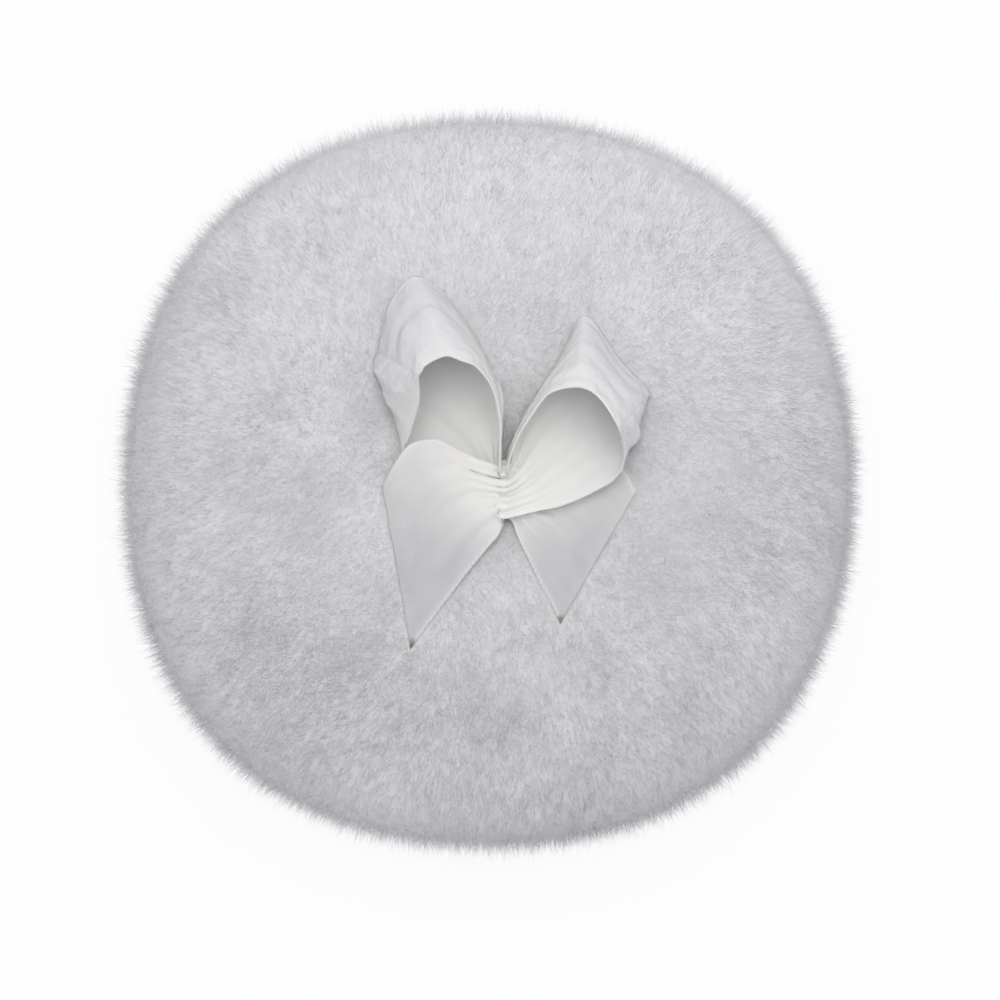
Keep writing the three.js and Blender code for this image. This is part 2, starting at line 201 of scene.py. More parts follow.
def ring_skin(rings, start, end, turned=False):
    """Points and faces of a closed skin: rings (r, c, 3) joined side by side, with a fan to a
    point at each end."""
    r, c = rings.shape[:2]
    points = np.concatenate([rings.reshape(-1, 3), [start], [end]])
    j = np.arange(c)
    k = (j + 1) % c
    first = np.stack([np.full(c, r * c), j, k], -1)
    last = np.stack([np.full(c, r * c + 1), (r - 1) * c + k, (r - 1) * c + j], -1)
    faces = [side_faces(r, c), first, last]
    return points, [f[:, ::-1] for f in faces] if turned else faces


def waves(place, length, seed):
    """Smooth noise of about unit spread at every place: a sum of sine waves with random
    directions, each with a wavelength near length."""
    rng = np.random.default_rng(seed)
    way = rng.normal(size=(wave_count, 3))
    way /= np.linalg.norm(way, axis=1)[:, None]
    rate = 2 * np.pi / (length * rng.uniform(0.7, 1.5, wave_count))
    phase = rng.uniform(0, 2 * np.pi, wave_count)
    value = np.zeros(place.shape[:-1])
    for direction, turns, start in zip(way, rate, phase):
        value += np.sin(place @ direction * turns + start)
    return value * math.sqrt(2 / wave_count)


# %% [markdown]
# The pad's form
#
# Two round cloths sewn at the rim and filled make a pillow. Its height falls from the crown to the
# rim as a superellipse, a little fuller than an ellipse, and the rim is drawn in slightly at four
# sides, as the photograph shows. Where the bow is sewn down, a bell-shaped dimple is taken off.

# %% Sizes and form of the pad
puff_radius = 47 * mm
puff_height = 40 * mm
squareness_share = 0.018
crown_power = 2.3
rest_cut = 0.5 * mm
pile_length = 8 * mm
backing = 1 * mm
seam_allowance = 5 * mm
parting_depth = 1.2 * mm
clearance = 0.3 * mm
dimple_depth = 3.5 * mm
dimple_radius = 12 * mm
pressed_pile = 5 * mm
bow_x, bow_y = 1.8 * mm, -2 * mm

seam_height = puff_height / 2 - rest_cut
half_gap = clearance / 2
inside_radius = puff_radius - pile_length - backing
lip_radius = inside_radius - seam_allowance
lip_top = half_gap + backing
outer_crown = puff_height / 2 - half_gap - parting_depth
inner_crown = puff_height / 2 - pile_length - backing - lip_top
inner_dimple = dimple_depth - (pile_length - pressed_pile)


def rim_share(angle):
    """The rim's radius as a share of its mean: one less a small cosine of four times the angle."""
    return 1 - squareness_share * np.cos(4 * angle)


def crown_at(share):
    """A superellipse's height at a share of its radius."""
    return (1 - np.minimum(1, share) ** crown_power) ** (1 / crown_power)


def dimple_at(x, y, depth):
    """A bell curve round the bow's waist."""
    return depth * np.exp(-((x - bow_x) ** 2 + (y - bow_y) ** 2) / dimple_radius**2)


def pile_top(x, y):
    """Height of the pile's mean surface on the top cloth."""
    share = np.hypot(x, y) / (puff_radius * rim_share(np.arctan2(y, x)))
    return (
        seam_height + half_gap + parting_depth + outer_crown * crown_at(share)
        - dimple_at(x, y, dimple_depth)
    )


def pillow(fall, angle, radius, base, rise, side, dimple):
    """A point of a pillow's skin. fall goes from 0 at the crown to a quarter turn at the rim."""
    share = np.sin(fall) ** (2 / crown_power)
    x = radius * rim_share(angle) * share * np.cos(angle)
    y = radius * rim_share(angle) * share * np.sin(angle)
    height = base + rise * np.maximum(0, np.cos(fall)) ** (2 / crown_power)
    return np.stack([x, y, seam_height + side * (height - dimple_at(x, y, dimple))], -1)


def rim_ring(radius, height, angle):
    """A level ring that follows the rim's form, at a height over the seam."""
    reach = radius * rim_share(angle)
    level = np.full(angle.shape, seam_height + height)
    return np.stack([reach * np.cos(angle), reach * np.sin(angle), level], -1)


print("crown over the seam", round((outer_crown + parting_depth) / mm, 2), "mm")

# %% [markdown]
# Finishes of the plush
#
# Plush is made of fine white fibres, so it has no grain of its own. What the eye reads is slow
# cloudy shading and small changes from hair to hair. Each hair carries a number for its shade,
# and the colour follows that number together with a soft noise in the object's space. The
# undercoat and the knit are given a darker grey than the hairs, as painted shade of the pile's
# depth: the little that shows between the hairs then looks like depth, and the pile looks smooth
# instead of grainy.

# %% Plush finishes


def plain_finish(name, roughness, sheen, specular):
    """A material with its shader's plain values set, and the shader returned to wire colour to."""
    finish = bpy.data.materials.new(name)
    finish.use_nodes = True
    shader = finish.node_tree.nodes["Principled BSDF"]
    shader.inputs["Roughness"].default_value = roughness
    shader.inputs["Sheen Weight"].default_value = sheen
    shader.inputs["Specular IOR Level"].default_value = specular
    return finish, shader


def soft_noise(tree, place, size, detail):
    """Noise read at a place socket, as a value socket."""
    values = {"Vector": place, "Scale": 1 / size, "Detail": detail}
    return shader_node(tree, "TexNoise", values).outputs["Fac"]


def two_colours(tree, value, low, dark, high, light):
    """A colour socket that goes from dark to light as a value goes from low to high."""
    ramp = shader_node(tree, "ValToRGB", {"Fac": value})
    for end, (position, colour) in enumerate([(low, dark), (high, light)]):
        ramp.color_ramp.elements[end].position = position
        ramp.color_ramp.elements[end].color = (*colour, 1)
    return ramp.outputs["Color"]


def bump(tree, height, strength, distance, below=None):
    """A normal socket raised by a height socket, on top of another bump if one is given."""
    values = {"Strength": strength, "Distance": distance, "Height": height}
    if below is not None:
        values["Normal"] = below
    return shader_node(tree, "Bump", values).outputs["Normal"]


def cloudy_colour(finish, shader, dark, light, size, attribute=None):
    """Colour from dark to light by soft noise in object space, shifted by an attribute if named."""
    tree = finish.node_tree
    value = soft_noise(tree, shader_node(tree, "TexCoord").outputs["Object"], size, 3)
    if attribute:
        carried = shader_node(tree, "Attribute", attribute_name=attribute).outputs["Fac"]
        value = shader_node(tree, "Math", {0: value, 1: carried}, operation="ADD").outputs[0]
    colour = two_colours(tree, value, 0.2, dark, 0.8, light)
    tree.links.new(colour, shader.inputs["Base Color"])


def rough_surface(finish, shader, size, height, strength):
    """Fine unevenness as bump, by noise in object space."""
    tree = finish.node_tree
    noise = soft_noise(tree, shader_node(tree, "TexCoord").outputs["Object"], size, 2)
    tree.links.new(bump(tree, noise, strength, height), shader.inputs["Normal"])


hair_finish, hair_shader = plain_finish("plush_hair", 0.8, 0.0, 0.25)
cloudy_colour(hair_finish, hair_shader, (0.86, 0.86, 0.87), (0.92, 0.92, 0.93), 12 * mm, "shade")
under_finish, under_shader = plain_finish("plush_undercoat", 0.95, 0.0, 0.1)
rough_surface(under_finish, under_shader, 0.35 * mm, 0.08 * mm, 0.4)
# The undercoat's darker grey is painted shade of the pile's depth.
cloudy_colour(under_finish, under_shader, (0.68, 0.68, 0.69), (0.74, 0.74, 0.75), 9 * mm)
print("plush finishes:", hair_finish.name, under_finish.name)

# %% [markdown]
# The two plush cloths
#
# Each cloth is a closed skin turned round the Z axis: the undercoat outside, the turned-in seam
# allowance as a lip at the rim, and the knit inside. The undercoat lies just under the hairs' tips,
# slightly lumpy, and stands for all the fibres that are too deep in the pile to be seen one by one.

# %% Plush cloths
undercoat_depth = 0.9 * mm
undercoat_lumps = 0.06 * mm
undercoat_lump_size = 11 * mm
undercoat_bottom = 2.2 * mm
round_steps = 240
fall_steps = 70


def plush_cloth(side, outer_dimple, inside_dimple):
    """Rings of one cloth, from its crown over the rim and back along its inner face."""
    angle = np.linspace(0, 2 * np.pi, round_steps, endpoint=False)[None, :]
    fall = np.linspace(0.02, np.pi / 2, fall_steps)[:, None]
    outside = pillow(
        fall, angle, puff_radius - undercoat_depth, half_gap + parting_depth,
        outer_crown - undercoat_depth, side, outer_dimple,
    )
    lump = waves(outside, undercoat_lump_size, 3 if side > 0 else 4)
    outside[..., 2] -= side * undercoat_lumps * (1 + lump) * np.cos(fall)
    outside[..., 2] = np.maximum(outside[..., 2], undercoat_bottom)
    rims = [
        (puff_radius - undercoat_depth - parting_depth, half_gap),
        (lip_radius, half_gap),
        (lip_radius, lip_top),
    ]
    lip = np.stack([rim_ring(radius, side * height, angle[0]) for radius, height in rims])
    inside = pillow(
        fall[::-2], angle, inside_radius, lip_top, inner_crown, side, inside_dimple
    )
    rings = np.concatenate([outside, lip, inside])
    return ring_skin(rings, rings[0].mean(axis=0), rings[-1].mean(axis=0), turned=side < 0)


top_cloth = new_piece("top_cloth", *plush_cloth(1, dimple_depth, inner_dimple), under_finish, "plush")
bottom_cloth = new_piece("bottom_cloth", *plush_cloth(-1, 0, 0), under_finish, "plush")
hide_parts("top_plush")
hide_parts("bottom_plush")

# %% [markdown]
# The filling
#
# Loose polyester fibre is pushed in through the gap in the seam, so it takes the cloths' shape
# from inside, a little short of them and lumpy. It is the same pillow formula, smaller, with the
# noise only ever taking material away so that it can't poke through the cloth.

# %% Filling
fill_finish, fill_shader = plain_finish("loose_fibre", 1.0, 0.3, 0.1)
cloudy_colour(fill_finish, fill_shader, (0.76, 0.76, 0.77), (0.88, 0.88, 0.88), 2 * mm)
lump_depth = 0.9 * mm
lump_size = 9 * mm
filling_round_steps, filling_fall_steps = 160, 36


def filling():
    """Rings of the filling, from the upper crown to the lower one, drawn in at the seam."""
    angle = np.linspace(0, 2 * np.pi, filling_round_steps, endpoint=False)[None, :]
    fall = np.linspace(0.03, np.pi / 2, filling_fall_steps)[:, None]
    radius, rise, base = inside_radius - 2 * clearance, inner_crown - 3 * clearance, lip_top + clearance
    upper = pillow(fall, angle, radius, base, rise, 1, inner_dimple)
    lower = pillow(fall[::-1], angle, radius, base, rise, -1, 0)
    waist = [rim_ring(lip_radius - clearance, side * base, angle[0])[None] for side in (1, -1)]
    rings = np.concatenate([upper, *waist, lower])
    lump = waves(rings, lump_size, 8)
    pull = lump_depth * np.clip(0.5 + 0.4 * lump, 0, 1)[..., None]
    centre = np.array([0, 0, seam_height])
    way = rings - centre
    rings = rings - pull * way / np.linalg.norm(way, axis=-1, keepdims=True)
    return ring_skin(rings, rings[0].mean(axis=0), rings[-1].mean(axis=0))


filler = new_piece("filling", *filling(), fill_finish, "filling")
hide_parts("fibre_filling")

# %% [markdown]
# The ribbon's path
#
# The bow is one length of ribbon. From the left tail it passes the waist into the right loop, back
# over both loops, and out under the waist as the right tail. Each row below is one place along it:
# where its middle is, which way it runs across from the far selvedge to the near one, and how much
# it curls. A smooth curve through the rows gives every place between, and two rows close together
# make a sharp fold. The rows are the CAD model's, with sharper folds, and pulled in tight beside the
# waist, where the CAD model leaves room for its thread.

# %% Rows of the ribbon
ribbon_width = 16 * mm
loop_reach = 28 * mm
tail_reach = 23 * mm
waist_width = 6.6 * mm
waist_middle = -0.6 * mm
return_middle = 2.4 * mm
return_width = 2 * mm
return_rise = 0.6 * mm
waist_length = 0.9 * mm
waist_lift = 1.9 * mm
layer_pitch = 0.45 * mm
pile_to_ribbon = -1.0 * mm  # below zero: the tails and loops press into the pile
pressed_from = 0.5  # the share of the reach from which they press in fully

left_tail_shares = [
    [-0.575, -0.433, 0.035, 0.215, -1.254, -0.03, 0],
    [-0.45, -0.25, 0.11, 0.38, -1.08, -0.13, 0],
    [-0.33, -0.1, 0.145, 0.47, -0.94, -0.17, 0],
    [-0.19, -0.015, 0.17, 0.44, -0.75, -0.15, 0],
    [-0.09, -0.02, 0.15, 0.245, -0.53, -0.05, 0],
]
right_loop_shares = [
    [0.09, 0.02, 0.1, 0.17, -0.45, 0, 0],
    [0.16, 0.09, 0.12, 0.29, -0.63, 0.03, 0],
    [0.255, 0.18, 0.13, 0.3, -0.82, 0.06, 0],
    [0.42, 0.28, 0.15, 0.14, -0.96, 0.12, 0],
    [0.53, 0.305, 0.19, -0.03, -0.83, 0.25, 0.06],
    [0.56, 0.295, 0.27, -0.1, -0.6, 0.47, 0.1],
    [0.575, 0.3, 0.4, -0.2, -0.38, 0.74, 0.05],
    [0.575, 0.318, 0.52, -0.25, -0.33, 0.88, 0],
    [0.56, 0.345, 0.55, -0.25, -0.32, 0.9, 0],
    [0.475, 0.45, 0.56, -0.17, -0.36, 0.9, 0],
    [0.345, 0.58, 0.56, -0.06, -0.62, 0.8, 0],
    [0.23, 0.485, 0.5, -0.11, -0.37, 0.78, 0],
    [0.15, 0.375, 0.41, -0.11, -0.31, 0.6, 0],
    [0.075, 0.25, 0.29, -0.07, -0.24, 0.36, 0],
    [0.024, 0.13, 0.18, -0.02, -0.2, 0.22, 0],
]
left_loop_shares = [
    [-0.016, 0.13, 0.18, 0.0, -0.2, 0.22, 0],
    [-0.014, 0.24, 0.28, 0.0, -0.22, 0.3, 0],
    [-0.018, 0.345, 0.35, 0.02, -0.27, 0.38, 0],
    [-0.07, 0.505, 0.42, 0.09, -0.34, 0.6, 0],
    [-0.157, 0.635, 0.51, 0.14, -0.48, 0.75, 0],
    [-0.247, 0.71, 0.555, 0.215, -0.66, 0.76, 0],
    [-0.326, 0.735, 0.57, 0.26, -0.68, 0.7, 0],
    [-0.42, 0.655, 0.545, 0.29, -0.54, 0.77, 0],
    [-0.452, 0.555, 0.53, 0.32, -0.3, 0.8, 0],
    [-0.464, 0.525, 0.49, 0.32, -0.26, 0.8, 0],
    [-0.47, 0.465, 0.37, 0.36, -0.36, 0.63, 0.1],
    [-0.472, 0.435, 0.21, 0.245, -0.655, 0.36, 0.12],
    [-0.475, 0.415, 0.09, 0.11, -0.91, 0.14, 0.03],
    [-0.331, 0.353, 0.03, -0.33, -0.93, 0.02, 0],
    [-0.193, 0.252, 0.02, -0.6, -0.74, 0, 0],
    [-0.099, 0.116, 0.03, -0.34, -0.54, 0, 0],
]
right_tail_shares = [
    [0.12, -0.055, 0.03, -0.2, -0.38, 0, 0],
    [0.2, -0.1, 0.01, -0.34, -0.5, 0, 0],
    [0.315, -0.135, 0.015, -0.52, -0.72, 0, 0],
    [0.42, -0.21, 0.02, -0.61, -0.95, 0, 0],
    [0.513, -0.376, 0.04, -0.59, -1.03, -0.02, 0],
]

# %% From rows to keys


def loop_keys(shares, reach):
    """Rows as arrays in metres: middle x, y, lift; across x, y, rise; curl. The lift also grows
    by pile_to_ribbon with the square of the distance from the waist, up to pressed_from."""
    rows = np.array(shares)
    keys = rows * [reach, reach, *[ribbon_width] * 5]
    from_waist = np.clip(np.hypot(rows[:, 0], rows[:, 1]) / pressed_from, 0, 1)
    keys[:, 2] += pile_to_ribbon * from_waist**2
    return keys


def waist_keys(layer, direction):
    """The two ends of the narrow waist for one of its three layers. The topmost, where the ribbon
    comes back over both loops, is pinched towards the far side, so that it hides nothing."""
    lift = waist_lift + layer * layer_pitch
    half = direction * waist_length / 2
    y, width, rise = (waist_middle, waist_width, 0) if layer < 2 else (
        return_middle, return_width, return_rise
    )
    return np.array([[x, y, lift, 0, -width, rise, 0] for x in (-half, half)])


ribbon_keys = np.concatenate([
    loop_keys(left_tail_shares, tail_reach),
    waist_keys(1, 1),
    loop_keys(right_loop_shares, loop_reach),
    waist_keys(2, -1),
    loop_keys(left_loop_shares, loop_reach),
    waist_keys(0, 1),
    loop_keys(right_tail_shares, tail_reach),
])


def smooth_through(keys, steps):
    """A centripetal curve through keys (n, d), with steps places in each stretch. Each stretch is
    a cubic whose end slopes come from its neighbours, spaced by the square root of distance."""
    ends = np.concatenate([[2 * keys[0] - keys[1]], keys, [2 * keys[-1] - keys[-2]]])
    gap = np.linalg.norm(np.diff(ends[:, :3], axis=0), axis=1) ** 0.5
    gap = np.maximum(gap, 1e-6)
    a, b, c, d = ends[:-3], ends[1:-2], ends[2:-1], ends[3:]
    g0, g1, g2 = gap[:-2, None], gap[1:-1, None], gap[2:, None]
    leave = ((b - a) / g0 - (c - a) / (g0 + g1) + (c - b) / g1) * g1
    arrive = ((c - b) / g1 - (d - b) / (g1 + g2) + (d - c) / g2) * g1
    t = (np.arange(steps) / steps)[None, :, None]
    b, c, leave, arrive = (v[:, None] for v in (b, c, leave, arrive))
    part = b + leave * t + (3 * (c - b) - 2 * leave - arrive) * t**2 + (
        2 * (b - c) + leave + arrive
    ) * t**3
    return np.concatenate([part.reshape(-1, keys.shape[1]), keys[-1:]])


print("rows of the ribbon:", len(ribbon_keys))

# %% [markdown]
# The ribbon's surface
#
# Between its selvedges a ribbon can only bend, so each row is nearly a straight line. Where the
# thread gathers it, the spare width stands up in pleats. Soft creases run out of the waist and die
# away. The mid-surface is one array, and the ribbon gets its thickness by moving that surface half
# a thickness to each side and closing the edges. The selvedges are a little thicker than the rest.

# %% Mid-surface of the ribbon
steps_per_row = 18
ribbon_columns = 44
ribbon_thickness = 0.16 * mm
pleats = [  # each one's place across the ribbon and its strength
    (0.1, 0.5), (0.24, 0.9), (0.4, 0.55), (0.53, 1.0), (0.69, 0.6), (0.85, 0.8),
]
pleat_breadth = 0.04
pleat_depth = 0.85 * mm
pleat_reach = 5.5 * mm
crease_depth = 0.26 * mm
creases_across = 9
creases_along = 1.1
crease_size = 1.6
crumple_depth = 0.07 * mm
crumple_size = 3 * mm


def ribbon_surface():
    """The mid-surface as rows (r, c, 3), with the share across and the distance along."""
    mid = smooth_through(ribbon_keys[:, [0, 1, 2]], steps_per_row)
    way = smooth_through(ribbon_keys[:, [3, 4, 5]], steps_per_row)
    curl = np.interp(
        np.arange(len(mid)) / steps_per_row, np.arange(len(ribbon_keys)), ribbon_keys[:, 6]
    )
    run = np.gradient(mid, axis=0)
    outward = np.cross(run, way)
    outward /= np.linalg.norm(outward, axis=1, keepdims=True)
    across = np.linspace(0, 1, ribbon_columns + 1)[None, :, None]
    surface = mid[:, None] + way[:, None] * (across - 0.5)
    surface = surface + outward[:, None] * curl[:, None, None] * 4 * across * (1 - across)
    gathered = np.maximum(0, 1 - np.linalg.norm(way, axis=1) / ribbon_width)[:, None]
    share = across[..., 0]
    from_waist = np.hypot(surface[..., 0], surface[..., 1] - waist_middle)
    room = np.minimum(1, np.linalg.norm(way, axis=1)[:, None] / waist_width) ** 2
    pleat = -pleat_depth * room * np.exp(-from_waist / pleat_reach) * sum(
        strength * np.exp(-(((share - place) / pleat_breadth) ** 2)) for place, strength in pleats
    )
    x = bow_x + surface[..., 0]
    y = bow_y + surface[..., 1]
    z = pile_top(x, y) + surface[..., 2] + pleat
    surface = np.stack([x, y, z], -1)
    step = np.linalg.norm(np.diff(surface.mean(axis=1), axis=0), axis=1)
    along = np.concatenate([[0], np.cumsum(step)])
    return surface, share, along, gathered


def surface_normals(surface):
    """Unit normals of a grid surface, from its slopes along and across."""
    normal = np.cross(np.gradient(surface, axis=1), np.gradient(surface, axis=0))
    return normal / np.linalg.norm(normal, axis=-1, keepdims=True)


middle, share_across, along, gathered = ribbon_surface()
crease_chart = np.stack(np.broadcast_arrays(
    share_across * creases_across, along[:, None] / ribbon_width * creases_along, 0.0
), -1)
crease = waves(crease_chart, crease_size, 21)
crease_here = crease_depth * (0.25 + 1.5 * gathered) * (1 - gathered) * crease
crease_here += crumple_depth * (1 - gathered) * waves(middle, crumple_size, 22)
crease_here *= np.sqrt(4 * share_across * (1 - share_across) + 0.02)
middle = middle + surface_normals(middle) * crease_here[..., None]

# %% [markdown]
# Satin
#
# Satin has long floating threads on its face and looks glossy there. Its back is duller, and it is
# given a darker grey than the face, as painted shade. The bow shows its face outside the loops and
# its back on the tails and inside the loops. Fine lines follow the threads, so the pattern reads the
# ribbon's own map, which runs in metres across and along. Near the waist, where the layers lie close
# over each other, the satin has painted light and a warmer tint; on the tails this painted light
# reaches further along the far selvedge, as a painted highlight on its curl. The selvedges carry a
# beaded painted highlight, and the heat-sealed corners of the cut ends are dark. The mesh carries a
# number for each of these places.

# %% Satin finishes
tint_size = 5 * mm
fine_crumple_size, fine_crumple_height = 1.6 * mm, 0.4 * mm
thread_line_pitch, thread_line_height = 0.35 * mm, 0.03 * mm


def blended(tree, base, attribute, colour):
    """Mixes a colour over a colour socket by an attribute of the mesh."""
    carried = shader_node(tree, "Attribute", attribute_name=attribute).outputs["Fac"]
    values = {"Factor": carried, "A": base, "B": (*colour, 1)}
    return shader_node(tree, "Mix", values, data_type="RGBA").outputs["Result"]


def lit_through(finish, shader, share, colour):
    """Mixes in a share of light that comes through from behind, as thin white cloth lets it."""
    tree = finish.node_tree
    through = shader_node(tree, "BsdfTranslucent", {"Color": (*colour, 1)})
    values = {"Fac": share, 1: shader.outputs["BSDF"], 2: through.outputs["BSDF"]}
    both = shader_node(tree, "MixShader", values)
    tree.links.new(both.outputs["Shader"], tree.nodes["Material Output"].inputs["Surface"])


def satin(name, roughness, shine, colour, dull, line_strength, crumple_strength, light_share):
    """Ribbon finish: faint thread lines along the ribbon, soft crumples, light that comes through
    from behind, and the colours its places carry: painted light and a warmer tint near the waist,
    painted highlights on the selvedges, and dark sealed corners."""
    finish, shader = plain_finish(name, roughness, 0.1, shine)
    tree = finish.node_tree
    chart = shader_node(tree, "UVMap", uv_map="ribbon_map").outputs["UV"]
    tint = two_colours(tree, soft_noise(tree, chart, tint_size, 2), 0.3, dull, 0.7, colour)
    # Painted light and a warmer tint near the waist, by the mesh's number for it.
    cream_and_painted_light = blended(tree, tint, "painted_light_near_waist", (1, 1, 0.965))
    # Painted highlights along the selvedges.
    with_edge_highlight = blended(tree, cream_and_painted_light, "selvedge", (1, 1, 1))
    stained = blended(tree, with_edge_highlight, "sealed", (0.16, 0.14, 0.12))
    tree.links.new(stained, shader.inputs["Base Color"])
    crumples = soft_noise(tree, chart, fine_crumple_size, 3)
    crumpled = bump(tree, crumples, crumple_strength, fine_crumple_height)
    scale = 1 / (math.pi * thread_line_pitch)
    values = {"Vector": chart, "Scale": scale, "Distortion": 1.5, "Detail": 2}
    lines = shader_node(tree, "TexWave", values, wave_type="BANDS", bands_direction="X")
    lined = bump(tree, lines.outputs["Fac"], line_strength, thread_line_height, crumpled)
    tree.links.new(lined, shader.inputs["Normal"])
    lit_through(finish, shader, light_share, (1, 1, 0.99))
    return finish


satin_face = satin(
    "satin_face", roughness=0.17, shine=1, colour=(0.84, 0.84, 0.85), dull=(0.78, 0.78, 0.79),
    line_strength=0.06, crumple_strength=0.9, light_share=0.4,
)
# The back's darker grey is painted shade on the tails and inside the loops; its higher roughness and
# lower shine are the back's own.
satin_back = satin(
    "satin_back", roughness=0.5, shine=0.3, colour=(0.62, 0.62, 0.635), dull=(0.58, 0.58, 0.595),
    line_strength=0.1, crumple_strength=0.15, light_share=0.3,
)
print("satin finishes:", satin_face.name, satin_back.name)

# %% Ribbon solid
selvedge_width = 0.3 * mm
selvedge_extra = 0.1 * mm
picot_length = 0.55 * mm


def ribbon_solid():
    """Face and back skins of the ribbon, and the bands that close its edges and ends. Also gives
    for each of the long faces whether it belongs to the back."""
    normal = surface_normals(middle)
    edge = np.minimum(share_across, 1 - share_across) * ribbon_width
    bead = np.exp(-((edge / selvedge_width) ** 2))
    ripple = 0.75 + 0.25 * np.cos(2 * np.pi * along[:, None] / picot_length)
    half = (ribbon_thickness / 2 + selvedge_extra * bead * ripple)[..., None]
    face, back = middle - normal * half, middle + normal * half
    r, c = middle.shape[:2]
    rings = np.concatenate([face, back[:, ::-1]], axis=1)
    n = 2 * c
    quads = np.roll(side_faces(r, n)[:, ::-1], 1, axis=1)
    side = np.tile(np.arange(n) >= c, r - 1).astype(np.int32)
    j = np.arange(c - 1)
    first = np.stack([j, n - 1 - j, n - 2 - j, j + 1], -1)
    last = (r - 1) * n + np.stack([j, j + 1, n - 2 - j, n - 1 - j], -1)
    return rings.reshape(-1, 3), [quads, first, last], side


points, faces, back_side = ribbon_solid()
ribbon = new_piece("bow_satin", points, faces, [satin_face, satin_back], "satin")
slots = np.concatenate([back_side, np.zeros(2 * ribbon_columns, np.int32)])
ribbon.data.polygons.foreach_set("material_index", slots)
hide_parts("bow_ribbon")

# %% The ribbon's own map
columns = np.concatenate([np.arange(ribbon_columns + 1), np.arange(ribbon_columns, -1, -1)])
u = np.broadcast_to(columns / ribbon_columns * ribbon_width, (len(along), len(columns)))
v = np.broadcast_to(along[:, None], u.shape)
corner = np.zeros(len(ribbon.data.loops), np.int32)
ribbon.data.loops.foreach_get("vertex_index", corner)
chart = ribbon.data.uv_layers.new(name="ribbon_map")
chart.data.foreach_set("uv", np.stack([u.ravel()[corner], v.ravel()[corner]], -1).ravel())
print("the map is", round(float(v.max()) / mm, 1), "mm long")

# %% Places that the finish marks
sealed_reach = 0.75 * mm
edge_highlight_width = 0.38 * mm
# How far the painted light near the waist reaches: in the loops, and on the tails from the near to the
# far selvedge, where it paints a highlight on the far edge's curl.
loop_glow = 17 * mm
tail_glow_near, tail_glow_far = 7 * mm, 15 * mm  # at the tails' near and far selvedge

across_here = (columns / ribbon_columns)[None, :] * ribbon_width
along_here = along[:, None]
to_near = ribbon_width - across_here
to_end = np.minimum(along_here, along[-1] - along_here)
carry(ribbon, "sealed", np.exp(-(((to_near**2 + to_end**2) / sealed_reach**2) ** 3)))
# A beaded painted highlight along both selvedges, at the picot's pitch.
to_edge = np.minimum(across_here, to_near)
highlight_beads = 0.6 + 0.4 * np.cos(2 * np.pi * along_here / picot_length)
carry(ribbon, "selvedge", np.exp(-((to_edge / edge_highlight_width) ** 2)) * highlight_beads)
# Painted light near the waist, with its warmer tint, fading with distance from the waist.
spots = np.concatenate([middle, middle[:, ::-1]], axis=1)
from_waist = np.hypot(spots[..., 0] - bow_x, spots[..., 1] - bow_y)
rows = np.arange(len(along))
in_tail = np.minimum(rows, rows[::-1]) < len(left_tail_shares) * steps_per_row
to_far_share = (1 - columns / ribbon_columns)[None, :] ** 2
tail_glow = tail_glow_near + (tail_glow_far - tail_glow_near) * to_far_share
glow_reach = np.where(in_tail[:, None], tail_glow, loop_glow)
carry(ribbon, "painted_light_near_waist", np.exp(-((from_waist / glow_reach) ** 2.5)))

# %% [markdown]
# Threads
#
# Sewing thread is two plies twisted together. Each thread is a tube whose section is two lobes,
# turned steadily along its path, so the twist is real shape. The gathering thread goes twice round
# the waist, the tack goes over it and down through the cloth to a knot, and two more threads close
# the rim.

# %% Thread along a path
thread_finish, thread_shader = plain_finish("sewing_thread", 0.55, 0.2, 0.4)
cloudy_colour(thread_finish, thread_shader, (0.88, 0.88, 0.85), (0.95, 0.95, 0.92), 1 * mm)
thread_sides = 12
twist_pitch = 3.2  # in diameters
along_x, upright = np.array([1.0, 0, 0]), np.array([0, 0, 1.0])


def even_steps(path, spacing):
    """The same path with its points an even distance apart."""
    step = np.concatenate([[0], np.cumsum(np.linalg.norm(np.diff(path, axis=0), axis=1))])
    wanted = np.linspace(0, step[-1], max(8, int(step[-1] / spacing)))
    return np.stack([np.interp(wanted, step, path[:, k]) for k in range(3)], -1), wanted


def twisted_thread(path, diameter, spacing, guide):
    """A two-ply thread: its radius is a mean plus a lobe times the cosine of twice the angle less
    the twist, which grows with the distance along the path."""
    path, at = even_steps(path, spacing)
    print("thread length", round(at[-1] / mm, 1), "mm")
    run = np.gradient(path, axis=0)
    run /= np.linalg.norm(run, axis=1, keepdims=True)
    sideways = np.cross(run, guide)
    sideways /= np.linalg.norm(sideways, axis=1, keepdims=True)
    upwards = np.cross(sideways, run)
    angle = np.linspace(0, 2 * np.pi, thread_sides, endpoint=False)[None, :]
    twist = 2 * np.pi * at[:, None] / (twist_pitch * diameter)
    radius = diameter / 2 * (0.8 + 0.2 * np.cos(2 * (angle - twist)))
    rings = path[:, None] + (radius * np.cos(angle))[..., None] * sideways[:, None] + (
        radius * np.sin(angle)
    )[..., None] * upwards[:, None]
    return ring_skin(rings, path[0], path[-1])


def sewn(name, path, diameter, spacing, guide, slot):
    """A piece of two-ply thread along a path."""
    points, faces = twisted_thread(path, diameter, spacing, guide)
    return new_piece(name, points, faces, thread_finish, slot)


